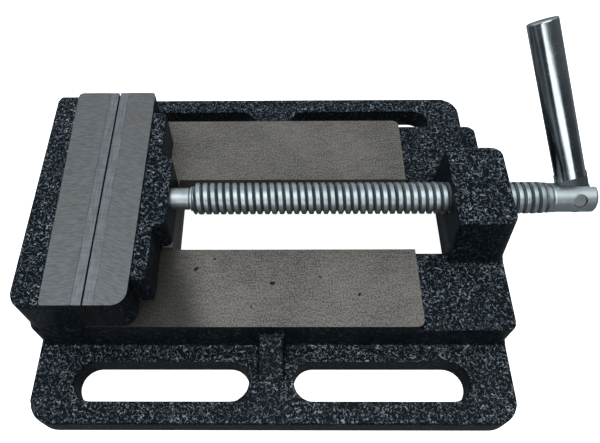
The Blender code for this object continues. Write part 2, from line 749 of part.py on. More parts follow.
def keeper_fasteners():
    """Under the keeper plate come a flat washer, a spring washer and the bolt's head."""
    for side, y in bolt_places():
        flat_top = KEEPER_BOTTOM - MATING_GAP
        washer("flat_washer_" + side, FLAT_WASHER_RADIUS, flat_top, FLAT_WASHER_THICKNESS, y)
        spring_top = flat_top - FLAT_WASHER_THICKNESS - MATING_GAP
        spring = washer("spring_washer_" + side, SPRING_WASHER_RADIUS, spring_top, SPRING_WASHER_THICKNESS, y)
        half = SPRING_WASHER_SPLIT / 2
        split = rectangle(BOLT_X - half, BOLT_X + half, y, y + SPRING_WASHER_RADIUS + PAST)
        spring_bottom = spring_top - SPRING_WASHER_THICKNESS
        cut(spring, prism("split_" + side, split, spring_bottom - PAST, spring_top + PAST))
        keeper_bolt("keeper_bolt_" + side, spring_top - SPRING_WASHER_THICKNESS - MATING_GAP, y)


def main():
    clear_scene()
    base_casting()
    movable_jaw()
    jaw_plate("fixed_jaw_plate", FIXED_PLATE_LEFT, 1)
    jaw_plate("movable_jaw_plate", MOVABLE_PLATE_LEFT, -1)
    for side, y in plate_screw_places():
        plate_screw("fixed_plate_screw_" + side, FIXED_PLATE_LEFT, 1, y)
        plate_screw("movable_plate_screw_" + side, MOVABLE_PLATE_LEFT, -1, y)
    screw_and_handle()
    retaining_pins()
    keeper_plate()
    keeper_fasteners()


main()
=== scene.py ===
"""A drill press vise: slotted cast base, two jaws, and a long lead screw with a folding handle."""

import json
import math

import bmesh
import bpy
from mathutils import Matrix, Vector


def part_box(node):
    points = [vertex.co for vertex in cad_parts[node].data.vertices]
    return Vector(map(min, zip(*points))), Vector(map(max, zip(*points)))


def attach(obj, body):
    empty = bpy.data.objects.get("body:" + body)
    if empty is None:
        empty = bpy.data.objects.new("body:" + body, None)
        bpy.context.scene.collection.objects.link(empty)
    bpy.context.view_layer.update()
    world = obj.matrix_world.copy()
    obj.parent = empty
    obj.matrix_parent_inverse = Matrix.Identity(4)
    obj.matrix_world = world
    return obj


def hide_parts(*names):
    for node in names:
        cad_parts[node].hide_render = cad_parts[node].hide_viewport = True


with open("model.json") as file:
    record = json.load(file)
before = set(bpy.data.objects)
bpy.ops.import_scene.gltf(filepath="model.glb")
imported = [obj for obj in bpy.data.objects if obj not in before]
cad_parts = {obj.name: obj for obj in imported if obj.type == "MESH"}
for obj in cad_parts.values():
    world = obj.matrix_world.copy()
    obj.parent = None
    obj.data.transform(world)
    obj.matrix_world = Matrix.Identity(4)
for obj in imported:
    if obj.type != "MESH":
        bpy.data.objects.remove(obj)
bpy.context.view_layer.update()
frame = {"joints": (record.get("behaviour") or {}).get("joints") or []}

# 1. Base casting
# One grey-iron sand casting: the slotted flange, the bed with its two ways, the fixed jaw and the nut block. It
# has black and silver hammertone paint. The ways, the jaw's top and face, the guide opening, the nut's bore and
# the foot are milled after painting, so they are bare.

mm = 0.001
seat_gap = 0.3 * mm
base_low, base_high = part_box("base_casting")
fixed_plate_low, fixed_plate_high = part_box("fixed_jaw_plate")
joints = {joint["name"]: joint for joint in frame["joints"]}
screw_height = joints["screw_turn"]["pos_m"][2]
left_end, right_end = base_low.x, base_high.x
jaw_top = fixed_plate_high.z
jaw_half_width = fixed_plate_high.y
way_top = fixed_plate_low.z - seat_gap
fixed_face = fixed_plate_low.x - seat_gap

flange_thickness = 10.5 * mm
flange_corner = 10 * mm
bed_height = way_top - 3.9 * mm
bed_half_width = jaw_half_width + 0.4 * mm
bed_corner = 4 * mm
slab = 8 * mm
wall = 8 * mm
slot_left_margin = 16.3 * mm
slot_right_margin = 17.3 * mm
slot_web = 17.9 * mm
slot_inner = 58.5 * mm
slot_outer = 74.2 * mm
slot_end_radius = 7.8 * mm
rib_half_thickness = 5 * mm
rib_reach = 17.4 * mm
rib_drop = 2.2 * mm
jaw_ledge_drop = 1.9 * mm
jaw_ledge_near_depth = 12.2 * mm
jaw_ledge_far_depth = 9.6 * mm
rail_bottom = bed_height - slab
riser_foot = bed_height - slab / 2
way_end_gap = 14 * mm
guide_half_width = 17.5 * mm
opening_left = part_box("movable_jaw")[1].x - 21.3 * mm
block_depth = 22.8 * mm
block_lean = 1.3 * mm
block_left = right_end - block_depth
block_foot_width = 46 * mm
block_top_width = 37 * mm
block_top = screw_height + 10.1 * mm
nut_radius = 6.85 * mm
milling_allowance = 2 * mm
way_right = block_left - way_end_gap


def rounded(corners, steps=10):
    """Outline through the corners (u, v, radius), each turned on its own radius."""
    points = []
    for index, (u, v, radius) in enumerate(corners):
        corner = Vector((u, v))
        if not radius:
            points.append(corner)
            continue
        before = (Vector(corners[index - 1][:2]) - corner).normalized()
        after = (Vector(corners[(index + 1) % len(corners)][:2]) - corner).normalized()
        half = before.angle(after) / 2
        centre = corner + (before + after).normalized() * radius / math.sin(half)
        start = corner + before * radius / math.tan(half) - centre
        stop = corner + after * radius / math.tan(half) - centre
        first = math.atan2(start.y, start.x)
        sweep = math.remainder(math.atan2(stop.y, stop.x) - first, 2 * math.pi)
        for step in range(steps + 1):
            angle = first + sweep * step / steps
            points.append(centre + radius * Vector((math.cos(angle), math.sin(angle))))
    return points


def oblong(left, right, near, far, left_radius=0, right_radius=0):
    """Rectangle with one corner radius at its left end and one at its right."""
    return rounded([
        (left, near, left_radius),
        (right, near, right_radius),
        (right, far, right_radius),
        (left, far, left_radius),
    ])


def disc(radius, u=0, v=0, sides=64):
    turns = [2 * math.pi * side / sides for side in range(sides)]
    return [Vector((u + radius * math.cos(turn), v + radius * math.sin(turn))) for turn in turns]


def as_object(name, bm):
    bmesh.ops.recalc_face_normals(bm, faces=bm.faces)
    mesh = bpy.data.meshes.new(name)
    bm.to_mesh(mesh)
    bm.free()
    obj = bpy.data.objects.new(name, mesh)
    bpy.context.scene.collection.objects.link(obj)
    return obj


def extruded(name, outline, low, high, axis="Z", taper=(1, 1)):
    """The outline extruded along X, Y or Z, and scaled by the taper at its high end."""
    place = {
        "X": lambda u, v, height: (height, u, v),
        "Y": lambda u, v, height: (u, height, v),
        "Z": lambda u, v, height: (u, v, height),
    }[axis]
    bm = bmesh.new()
    lower = [bm.verts.new(place(point.x, point.y, low)) for point in outline]
    upper = [bm.verts.new(place(point.x * taper[0], point.y * taper[1], high)) for point in outline]
    bm.faces.new(lower)
    bm.faces.new(upper)
    for index in range(len(outline)):
        following = (index + 1) % len(outline)
        bm.faces.new((lower[index], lower[following], upper[following], upper[index]))
    return as_object(name, bm)


def block(name, low, high):
    return extruded(name, oblong(low[0], high[0], low[1], high[1]), low[2], high[2])


def settled(obj):
    """Replaces the object's mesh by what its modifiers make of it."""
    graph = bpy.context.evaluated_depsgraph_get()
    mesh = bpy.data.meshes.new_from_object(obj.evaluated_get(graph))
    obj.modifiers.clear()
    obj.data = mesh
    return obj


def combined(obj, others, operation):
    """Adds the others to the object, cuts them from it or keeps what they share, and then removes them."""
    for other in others:
        modifier = obj.modifiers.new(other.name, "BOOLEAN")
        modifier.object = other
        modifier.operation = operation
        modifier.solver = "EXACT"
        modifier.material_mode = "TRANSFER"
    settled(obj)
    for other in others:
        bpy.data.objects.remove(other)
    return obj


def welded(obj, *others):
    return combined(obj, others, "UNION")


def milled(obj, *cutters, leaving):
    """Cuts the cutters from the object, leaving a material on the cut faces."""
    for cutter in cutters:
        cutter.data.materials.clear()
        cutter.data.materials.append(leaving)
    return combined(obj, cutters, "DIFFERENCE")


def cast(obj, coat, grain, passes, keep=0.3):
    """Rounds all edges and hollows as a sand mould does, and coats the casting. More passes round it more."""
    skin = obj.modifiers.new("skin", "REMESH")
    skin.mode = "VOXEL"
    skin.voxel_size = grain
    rounding = obj.modifiers.new("rounding", "SMOOTH")
    rounding.factor = 0.5
    rounding.iterations = passes
    thinning = obj.modifiers.new("thinning", "DECIMATE")
    thinning.ratio = keep
    settled(obj)
    obj.data.materials.clear()
    obj.data.materials.append(coat)
    return obj


class Signal:
    """A socket of a material's nodes. Arithmetic on signals and numbers adds Math nodes."""

    def __init__(self, tree, socket=None):
        self.tree = tree
        self.socket = socket

    def node(self, kind, settings, inputs, output=0):
        """Any other node: its settings first, then the values or links of its sockets."""
        made = self.tree.nodes.new("ShaderNode" + kind)
        for name, value in settings.items():
            setattr(made, name, value)
        for name, value in inputs.items():
            plug(made.inputs[name], value)
        return Signal(self.tree, made.outputs[output])

    def math(self, operation, *values):
        return self.node("Math", {"operation": operation}, dict(enumerate(values)))

    def __add__(self, other):
        return self.math("ADD", self, other)

    def __sub__(self, other):
        return self.math("SUBTRACT", self, other)

    def __rsub__(self, other):
        return self.math("SUBTRACT", other, self)

    def __mul__(self, other):
        return self.math("MULTIPLY", self, other)

    def __abs__(self):
        return self.math("ABSOLUTE", self)

    __radd__ = __add__


def plug(socket, value):
    """Links a signal to the socket, or sets the socket to a plain value."""
    if isinstance(value, Signal):
        socket.id_data.links.new(value.socket, socket)
    elif socket.type == "RGBA":
        socket.default_value = (*value, 1)
    else:
        socket.default_value = value


def colour(red, green, blue):
    """Linear colour from three shades between 0 and 255."""
    return tuple((shade / 255) ** 2.2 for shade in (red, green, blue))


def position(nodes, stretch=(1, 1, 1)):
    """Place on the piece in metres, stretched along its axes."""
    place = nodes.node("TexCoord", {}, {}, "Object")
    return nodes.node("VectorMath", {"operation": "MULTIPLY"}, {0: place, 1: stretch})


def mottle(nodes, place, size, detail=2.0, swirl=0.0):
    """Soft random patches of about the given size, between 0 and 1."""
    inputs = {"Vector": place, "Scale": 1 / size, "Detail": detail, "Distortion": swirl}
    return nodes.node("TexNoise", {}, inputs)


def ramp(signal, start, end):
    """Goes smoothly from 0 at the start to 1 at the end, or back where the start is the higher."""
    inputs = {"Value": signal, "From Min": start, "From Max": end}
    return signal.node("MapRange", {"interpolation_type": "SMOOTHSTEP"}, inputs)


def mixed(amount, low, high):
    return amount.node("Mix", {"data_type": "RGBA"}, {0: amount, 6: low, 7: high}, 2)


def relief(height, depth, strength=1.0):
    return height.node("Bump", {}, {"Height": height, "Distance": depth, "Strength": strength})


def along(nodes, place, axis):
    return nodes.node("SeparateXYZ", {}, {0: place}, axis)


def finish(name, look):
    """Material whose shader sockets come from the look."""
    material = bpy.data.materials.new(name)
    material.use_nodes = True
    shader = material.node_tree.nodes["Principled BSDF"]
    for socket, value in look(Signal(material.node_tree)).items():
        plug(shader.inputs[socket], value)
    return material


def hammertone(nodes):
    """Near-black enamel with broken silver veins, painted brighter where the surface faces up and faded on the
    walls: painted light from above.
    """
    place = position(nodes)
    ridge = abs(mottle(nodes, place, 2.2 * mm, 0.6, 0.8) - 0.5)
    fine_ridge = abs(mottle(nodes, place, 1.5 * mm, 0.6, 0.6) - 0.48)
    broken = ramp(mottle(nodes, place, 1.3 * mm, 0.5), 0.44, 0.56)
    rest = ramp(mottle(nodes, place, 1.2 * mm, 0.5), 0.58, 0.48)
    vein = ramp(ridge, 0.034, 0.004) * broken + ramp(fine_ridge, 0.03, 0.004) * rest * 0.65
    facing = along(nodes, nodes.node("NewGeometry", {}, {}, "Normal"), "Z")
    # Painted top light: the veins keep full strength on what faces up and fade on the walls, as lighting from above
    # shows them.
    vein_with_painted_top_light = vein * (ramp(facing, 0.3, 0.95) * 0.8 + 0.2)
    spray = ramp(mottle(nodes, place, 16 * mm, 3.0), 0.3, 0.7)
    silver = mixed(spray, colour(112, 123, 132), colour(146, 157, 166))
    # Sharp edges are lightened: partly wear of the paint, partly a painted highlight along the fillets.
    lighter_share = ramp(nodes.node("NewGeometry", {}, {}, "Pointiness"), 0.58, 0.68) * 0.12
    return {
        "Base Color": mixed(vein_with_painted_top_light + lighter_share, colour(17, 24, 30), silver),
        "Roughness": 0.36 - vein_with_painted_top_light * 0.1,
        "Specular IOR Level": 0.06,
        "Normal": relief(vein * 0.6 + mottle(nodes, place, 3 * mm) * 0.4, 0.14 * mm, 0.5),
    }


def milled_way(nodes):
    """Milled iron of the two ways: warm grey, finely grained, and darker and oily next to the closed jaws, where
    the darkening is painted shade of the jaws.
    """
    place = position(nodes)
    grain = mottle(nodes, place, 0.6 * mm, 3.0)
    cloud = ramp(mottle(nodes, place, 26 * mm, 2.0, 0.3), 0.3, 0.7)
    reach = along(nodes, place, "X") + along(nodes, place, "Y") * 0.35
    # Next to the closed jaws the way is painted darker as the jaws' shade, and made smoother as oil.
    oil_and_jaw_shade = ramp(reach + mottle(nodes, place, 9 * mm, 3.0) * 7 * mm, -50 * mm, -66 * mm)
    marks = mottle(nodes, position(nodes, (0.25, 1, 1)), 0.9 * mm, 2.0)
    light = ramp(grain * 0.8 + marks * 0.2, 0.36, 0.64) * 0.8 + cloud * 0.2
    bare = mixed(light, colour(62, 61, 59), colour(132, 129, 124))
    return {
        "Base Color": mixed(oil_and_jaw_shade * 0.8, bare, colour(22, 22, 22)),
        "Metallic": 0.55,
        "Roughness": 0.56 - oil_and_jaw_shade * 0.14,
        "Normal": relief(grain * 0.7 + marks * 0.3, 0.09 * mm, 0.6),
    }


def milled_jaw(lean):
    """Look of an iron jaw's milled top, with the cutter's marks across it at a lean."""
    def look(nodes):
        turn = nodes.node("VectorRotate", {"rotation_type": "Z_AXIS"},
                          {"Vector": position(nodes), "Angle": math.radians(lean)})
        long_marks = nodes.node("VectorMath", {"operation": "MULTIPLY"}, {0: turn, 1: (0.16, 1, 1)})
        stroke = mottle(nodes, long_marks, 0.6 * mm, 3.0)
        fine = mottle(nodes, long_marks, 0.45 * mm, 2.0)
        stain = ramp(mottle(nodes, position(nodes), 14 * mm, 3.0), 0.52, 0.75)
        light = ramp(stroke * 0.6 + fine * 0.4, 0.34, 0.66)
        bare = mixed(light, colour(94, 98, 101), colour(117, 121, 124))
        return {
            "Base Color": mixed(stain * 0.25, bare, colour(108, 101, 95)),
            "Metallic": 0.6,
            "Roughness": 0.42 + light * 0.1,
            "Normal": relief(stroke * 0.7 + fine * 0.3, 0.05 * mm, 0.55),
        }
    return look


def bare_iron(nodes):
    """Machined iron out of sight, with turning marks and a little oil."""
    place = position(nodes)
    marks = mottle(nodes, position(nodes, (0.3, 1, 1)), 0.9 * mm, 3.0)
    oil = ramp(mottle(nodes, place, 9 * mm), 0.4, 0.7)
    return {
        "Base Color": mixed(marks * 0.6 + oil * 0.4, colour(118, 117, 113), colour(84, 82, 78)),
        "Metallic": 0.7,
        "Roughness": 0.5 - oil * 0.15,
        "Normal": relief(marks, 0.05 * mm, 0.5),
    }


painted = finish("hammertone enamel", hammertone)
bare_way = finish("milled way", milled_way)
bare_fixed_top = finish("milled fixed jaw", milled_jaw(-4))
bare_hidden = finish("bare iron", bare_iron)


def slot_places():
    """(left, right, side) of the four clamping slots, worked out from the base's ends."""
    first = left_end + slot_left_margin
    last = right_end - slot_right_margin
    length = (last - first - slot_web) / 2
    return [(left, left + length, side) for side in (-1, 1) for left in (first, last - length)]


def fixed_jaw_outline(near_depth, far_depth, near_corner, far_corner):
    return rounded([
        (left_end + near_depth, -jaw_half_width, near_corner),
        (fixed_face + milling_allowance, -jaw_half_width, 0),
        (fixed_face + milling_allowance, jaw_half_width, 0),
        (left_end + far_depth, jaw_half_width, far_corner),
    ])


def nut_block():
    outline = rounded([
        (block_left, -block_foot_width / 2, 0),
        (right_end, -block_foot_width / 2, 5 * mm),
        (right_end, block_foot_width / 2, 5 * mm),
        (block_left, block_foot_width / 2, 0),
    ])
    obj = extruded("nut block", outline, riser_foot, block_top, taper=(1, block_top_width / block_foot_width))
    for vert in obj.data.vertices:
        if vert.co.z > screw_height:
            vert.co.x -= block_lean
    return obj


def rib(side):
    """Gusset between the two slots of one side, from the bed's wall down to the flange."""
    places = slot_places()
    middle = (places[0][1] + places[1][0]) / 2
    inner = side * (bed_half_width - wall / 2)
    outer = side * (bed_half_width + rib_reach)
    top = bed_height - rib_drop
    outline = [
        Vector((inner, top)),
        Vector((side * bed_half_width, top)),
        Vector((outer, flange_thickness)),
        Vector((outer, flange_thickness / 2)),
        Vector((inner, flange_thickness / 2)),
    ]
    return extruded("rib", outline, middle - rib_half_thickness, middle + rib_half_thickness, "X")


def lean_at(height):
    """x of the nut block's leaning left face at a height."""
    return block_left - block_lean * (height - riser_foot) / (block_top - riser_foot)


flange_outline = oblong(left_end, right_end, base_low.y, base_high.y, flange_corner, flange_corner)
bed_outline = oblong(left_end, right_end, -bed_half_width, bed_half_width, bed_corner, bed_corner)
ways_outline = oblong(fixed_face - 2 * mm, way_right, -bed_half_width, bed_half_width, 0, 3 * mm)
crown_outline = fixed_jaw_outline(jaw_ledge_near_depth, jaw_ledge_far_depth, 0, 1.9 * mm)
base = extruded("vise_base", flange_outline, -milling_allowance, flange_thickness)
bed = extruded("bed", bed_outline, flange_thickness / 2, bed_height)
raised_ways = extruded("ways", ways_outline, riser_foot, way_top + milling_allowance)
ledge = extruded("ledge", fixed_jaw_outline(0, 0, 6 * mm, 3 * mm), riser_foot, jaw_top - jaw_ledge_drop)
crown = extruded("crown", crown_outline, bed_height, jaw_top + milling_allowance)
welded(base, bed, raised_ways, ledge, crown, nut_block(), rib(-1), rib(1))

cutter_excess = 5 * mm
hollow_half_width = bed_half_width - wall
hollow_outline = oblong(left_end + wall, right_end - wall, -hollow_half_width, hollow_half_width,
                        bed_corner, bed_corner)
hollow = extruded("hollow", hollow_outline, -cutter_excess, rail_bottom)
slots = []
for left, right, side in slot_places():
    near, far = sorted((side * slot_inner, side * slot_outer))
    outline = oblong(left, right, near, far, slot_end_radius, slot_end_radius)
    slots.append(extruded("slot", outline, -cutter_excess, flange_thickness + cutter_excess))
milled(base, hollow, *slots, leaving=painted)
cast(base, painted, grain=0.75 * mm, passes=3)

mill_reach = 1.0
foot_cut = block("foot cut", (-mill_reach, -mill_reach, -mill_reach), (mill_reach, mill_reach, 0))
guide_cut = block("guide cut", (opening_left, -guide_half_width, rail_bottom - 2 * mm),
                  (way_right, guide_half_width, way_top + 2 * mm))
guide_end_cut = extruded("guide end cut", [
    Vector((way_right - 2 * mm, rail_bottom - 2 * mm)),
    Vector((lean_at(rail_bottom - 2 * mm), rail_bottom - 2 * mm)),
    Vector((lean_at(way_top + 2 * mm), way_top + 2 * mm)),
    Vector((way_right - 2 * mm, way_top + 2 * mm)),
], -guide_half_width, guide_half_width, "Y")
nut_cut = extruded("nut cut", disc(nut_radius, 0, screw_height), block_left - 3 * mm, right_end + 2 * mm, "X")
way_cut = block("way cut", (fixed_face, -mill_reach, way_top), (way_right + 2 * mm, mill_reach, jaw_top + 6 * mm))
top_cut = block("top cut", (-mill_reach, -mill_reach, jaw_top), (fixed_face + 4 * mm, mill_reach, jaw_top + 9 * mm))
milled(base, foot_cut, guide_cut, nut_cut, leaving=bare_hidden)
milled(base, guide_end_cut, leaving=painted)
milled(base, way_cut, leaving=bare_way)
milled(base, top_cut, leaving=bare_fixed_top)

screw_spacing = 60 * mm
screw_hole_radius = 3.25 * mm
screw_hole_depth = 9.5 * mm


def plate_screw_holes(low, high):
    """Cutters for the plate screws' holes in a jaw, from x = low to x = high."""
    height = (jaw_top + way_top + seat_gap) / 2
    return [extruded("screw hole", disc(screw_hole_radius, side * screw_spacing / 2, height, 32), low, high, "X")
            for side in (-1, 1)]


milled(base, *plate_screw_holes(fixed_face - screw_hole_depth, fixed_face + 2 * mm), leaving=bare_hidden)

# Of each: place along and across the way, half its length and width, all in mm, and its turn in degrees.
pores = [(-48.2, -26.4, 1.1, 0.75, 35), (-17.4, -32.8, 1.2, 0.85, 0), (-41, -21.9, 0.55, 0.45, 0),
         (1.7, -30, 0.5, 0.4, 20), (16.9, -37.7, 0.85, 0.5, 60), (-25.6, -42.9, 0.45, 0.35, 0)]


def blowholes():
    """Small pits that gas left in the iron, opened by the milling of the near way."""
    pits = []
    for x, y, length, width, turn in pores:
        bm = bmesh.new()
        place = (Matrix.Translation((x * mm, y * mm, way_top)) @ Matrix.Rotation(math.radians(turn), 4, "Z")
                 @ Matrix.Diagonal((length * mm, width * mm, 0.5 * mm, 1)))
        bmesh.ops.create_icosphere(bm, subdivisions=2, radius=1, matrix=place)
        pits.append(as_object("pit", bm))
    return pits


def sooty(nodes):
    """Inside of a blowhole."""
    return {
        "Base Color": mixed(mottle(nodes, position(nodes), 0.5 * mm), colour(12, 12, 11), colour(30, 29, 27)),
        "Roughness": 0.85,
    }


milled(base, *blowholes(), leaving=finish("pit", sooty))


def smoothed(obj, angle=32):
    """Shades the object smoothly between its sharp edges, and keeps its wide faces flat."""
    obj.data.shade_smooth()
    obj.data.set_sharp_from_angle(angle=math.radians(angle))
    weighting = obj.modifiers.new("weighting", "WEIGHTED_NORMAL")
    weighting.keep_sharp = True
    return settled(obj)


smoothed(base)
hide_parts("base_casting")
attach(base, "base")

# 2. Jaw plates
# Two hardened steel plates, one on each jaw, ground all over and scratched by work. Each is held by two
# countersunk screws that enter from its gripping face.

head_radius = 5.1 * mm
shank_radius = 3 * mm
sink_gap = 0.3 * mm


def lathe(name, profile, sides=48):
    """Closed surface turned about X from points (x, radius)."""
    bm = bmesh.new()
    rings = []
    for x, radius in profile:
        turns = [2 * math.pi * side / sides for side in range(sides)]
        rings.append([bm.verts.new((x, radius * math.cos(turn), radius * math.sin(turn))) for turn in turns])
    for ring, following in zip(rings, rings[1:]):
        for side in range(sides):
            other = (side + 1) % sides
            bm.faces.new((ring[side], ring[other], following[other], following[side]))
    bm.faces.new(rings[0])
    bm.faces.new(rings[-1])
    return as_object(name, bm)


def placed(obj, *steps):
    """Moves the object's mesh by each step in turn."""
    for step in steps:
        obj.data.transform(step)
    return obj


def edged(obj, width, segments=2, angle=30):
    """Breaks the object's sharp edges."""
    bevel = obj.modifiers.new("edge", "BEVEL")
    bevel.width = width
    bevel.segments = segments
    bevel.limit_method = "ANGLE"
    bevel.angle_limit = math.radians(angle)
    return settled(obj)


def hardened(nodes):
    """Ground steel: a lighter top strip, dark ends, and gripping faces with fine lengthwise scratches."""
    place = position(nodes)
    scratch = mottle(nodes, position(nodes, (1, 0.06, 1)), 0.5 * mm, 3.0)
    cross = mottle(nodes, position(nodes, (0.2, 1, 1)), 0.8 * mm, 2.0)
    rust = ramp(mottle(nodes, place, 6 * mm, 4.0), 0.6, 0.8)
    upward = ramp(along(nodes, nodes.node("NewGeometry", {}, {}, "Normal"), "Z"), 0.5, 0.9)
    lighter_share = ramp(scratch * 0.6 + cross * 0.4, 0.36, 0.64)
    face = mixed(lighter_share, colour(88, 90, 94), colour(122, 125, 130))
    top = mixed(lighter_share, colour(108, 111, 117), colour(130, 133, 139))
    end = ramp(abs(along(nodes, nodes.node("NewGeometry", {}, {}, "Normal"), "Y")), 0.6, 0.9)
    ground = mixed(rust * 0.3, mixed(upward, face, top), colour(92, 78, 66))
    return {
        "Base Color": mixed(end * 0.92, ground, colour(20, 24, 29)),
        "Metallic": 0.75,
        "Roughness": 0.36 + lighter_share * 0.12,
        "Normal": relief(scratch * 0.5 + cross * 0.5, 0.03 * mm, 0.5),
    }


plate_steel = finish("hardened plate", hardened)


def jaw_plate(node, front):
    """Plate between the CAD plate's faces. The screws enter from the side that front points to."""
    low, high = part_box(node)
    back = Vector((0.25 * mm, 0, 0))
    seated = (low - back, high) if front > 0 else (low, high + back)
    plate = edged(block("vise_" + node, *seated), 0.15 * mm)
    face = high.x if front > 0 else low.x
    holes = []
    for side in (-1, 1):
        profile = [
            (front * 2 * mm, head_radius + sink_gap),
            (-front * 0.6 * mm, head_radius + sink_gap),
            (-front * 2.7 * mm, shank_radius + sink_gap),
            (-front * 6 * mm, shank_radius + sink_gap),
        ]
        middle = Matrix.Translation((face, side * screw_spacing / 2, (low.z + high.z) / 2))
        holes.append(placed(lathe("hole", profile), middle))
    plate.data.materials.append(plate_steel)
    return smoothed(milled(plate, *holes, leaving=plate_steel))


for node, front, body in (("fixed_jaw_plate", 1, "base"), ("movable_jaw_plate", -1, "jaw")):
    plate = jaw_plate(node, front)
    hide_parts(node)
    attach(plate, body)

# 3. Plate screws
# Four black countersunk screws with hex sockets. They sit just below the plates' faces and go into tapped
# holes in the jaws.

socket_radius = 2.3 * mm
socket_depth = 1.7 * mm
groove_depth = 0.4 * mm


def blackened(nodes):
    """Black oxide over steel, rubbed bare at the rim."""
    place = position(nodes)
    rubbed = ramp(mottle(nodes, place, 1.2 * mm, 3.0), 0.55, 0.72)
    return {
        "Base Color": mixed(rubbed, colour(38, 38, 40), colour(104, 104, 106)),
        "Metallic": 0.85,
        "Roughness": 0.42 + rubbed * 0.1,
        "Normal": relief(mottle(nodes, place, 0.4 * mm), 0.02 * mm, 0.5),
    }


black_oxide = finish("black oxide", blackened)


def plate_screw(node, front):
    low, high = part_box(node)
    top, end = (high.x, low.x) if front > 0 else (low.x, high.x)
    profile = [(top, head_radius - 0.15 * mm), (top - front * 0.15 * mm, head_radius)]
    profile.append((top - front * 0.3 * mm, head_radius))
    profile.append((top - front * 2.4 * mm, shank_radius))
    for turn in range(11):
        x = top - front * (3 + turn * 0.8) * mm
        profile += [(x, shank_radius), (x - front * groove_depth, shank_radius - groove_depth)]
    profile += [(end + front * groove_depth, shank_radius - groove_depth), (end, shank_radius - 2 * groove_depth)]
    screw = lathe("vise_" + node, profile, 40)
    socket_ends = sorted((top + front * mm, top - front * socket_depth))
    socket = extruded("socket", disc(socket_radius, sides=6), *socket_ends, "X")
    screw.data.materials.append(black_oxide)
    milled(screw, socket, leaving=black_oxide)
    return smoothed(placed(screw, Matrix.Translation((0, (low.y + high.y) / 2, (low.z + high.z) / 2))))


for jaw, front, body in (("fixed", 1, "base"), ("movable", -1, "jaw")):
    for side in ("near", "far"):
        node = f"{jaw}_plate_screw_{side}"
        screw = plate_screw(node, front)
        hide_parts(node)
        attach(screw, body)

# 4. Movable jaw
# A second casting in the same enamel. Its crown, front face, sole and tongue are milled bare, and the boss behind
# it takes the screw's tip. The tongue runs in the guide opening.

jaw_low, jaw_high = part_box("movable_jaw")
jaw_face = jaw_low.x
bore_gap = 0.25 * mm
crown_right = jaw_face + 11.5 * mm
shelf_right = crown_right + 6 * mm
shelf_half = jaw_half_width - 10.7 * mm
shelf_top = jaw_top - 1.2 * mm
boss_half = 16.7 * mm
slide_bottom = way_top + seat_gap
tongue_half = guide_half_width - 0.45 * mm
tongue_left = jaw_high.x - 19 * mm
tip_radius = 4.5 * mm
retainer_radius = 1.5 * mm
pin_low, pin_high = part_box("retaining_pin_far")
groove_x = (pin_low.x + pin_high.x) / 2
pin_y = (pin_low.y + pin_high.y) / 2
bolt_low, bolt_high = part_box("keeper_bolt_far")
bolt_x = (bolt_low.x + bolt_high.x) / 2
bolt_y = (bolt_low.y + bolt_high.y) / 2

bare_movable_top = finish("milled movable jaw", milled_jaw(24))
jaw = extruded("vise_jaw", rounded([
    (jaw_face - milling_allowance, -jaw_half_width, 0),
    (crown_right, -jaw_half_width, 5.5 * mm),
    (crown_right, jaw_half_width, mm),
    (jaw_face - milling_allowance, jaw_half_width, 0),
]), slide_bottom - milling_allowance, jaw_top + milling_allowance)
shelf_outline = oblong(jaw_face + 5 * mm, shelf_right, -shelf_half, shelf_half, 0, 1.5 * mm)
shelf = extruded("shelf", shelf_outline, slide_bottom - milling_allowance, shelf_top)
boss_outline = oblong(crown_right - 3 * mm, jaw_high.x, -boss_half, boss_half, 0, 3 * mm)
boss = extruded("boss", boss_outline, slide_bottom - milling_allowance, shelf_top)
welded(jaw, shelf, boss)
cast(jaw, painted, grain=0.7 * mm, passes=2)

tongue = block("tongue", (tongue_left, -tongue_half, rail_bottom), (jaw_high.x, tongue_half, slide_bottom + mm))
tongue.data.materials.append(bare_hidden)
face_cut = block("face cut", (jaw_face - 9 * mm, -mill_reach, -mill_reach), (jaw_face, mill_reach, mill_reach))
sole_cut = block("sole cut", (-mill_reach, -mill_reach, -mill_reach), (mill_reach, mill_reach, slide_bottom))
crown_cut = block("crown cut", (-mill_reach, -mill_reach, jaw_top), (mill_reach, mill_reach, jaw_top + 9 * mm))
milled(jaw, face_cut, sole_cut, leaving=bare_hidden)
milled(jaw, crown_cut, leaving=bare_movable_top)
welded(jaw, tongue)
tip_bore = extruded("tip bore", disc(tip_radius + 0.4 * mm, 0, screw_height, 48), jaw_high.x - 16.3 * mm,
                    jaw_high.x + 2 * mm, "X")
bores = [tip_bore]
for side in (-1, 1):
    pin_outline = disc(retainer_radius + bore_gap, groove_x, side * pin_y, 32)
    bores.append(extruded("pin bore", pin_outline, rail_bottom - 2 * mm, pin_high.z + bore_gap))
for side in (-1, 1):
    bolt_outline = disc(screw_hole_radius, bolt_x, side * bolt_y, 32)
    bores.append(extruded("bolt bore", bolt_outline, rail_bottom - 2 * mm, bolt_high.z + bore_gap))
bores += plate_screw_holes(jaw_face - 2 * mm, jaw_face + screw_hole_depth)
milled(jaw, *bores, leaving=bare_hidden)
smoothed(jaw)
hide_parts("movable_jaw")
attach(jaw, "jaw")

# 5. Lead screw
# Zinc-plated mild steel with a rolled right-hand thread of 3 mm pitch. Its turned tip has a groove for the
# retaining pins, and its plain end is slotted as a fork for the handle.

thread_radius = 6.5 * mm
root_radius = 5 * mm
pitch = 3 * mm
plain_radius = 6 * mm
screw_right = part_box("lead_screw")[1].x
thread_left = jaw_high.x + 8.5 * mm
groove_radius = 2.8 * mm
groove_half = 1.8 * mm
pin_hole_radius = 2.7 * mm
thread_right = screw_right - 16.5 * mm
tip_left = jaw_high.x - 16 * mm
fork_slot = 5.6 * mm
fork_length = 15.2 * mm
fold = joints["handle_fold"]
hinge_x = fold["pos_m"][0]
fork_turn = math.atan2(fold["axis"][2], fold["axis"][1])
screw_line = Matrix.Translation((0, 0, screw_height)) @ Matrix.Rotation(fork_turn, 4, "X")


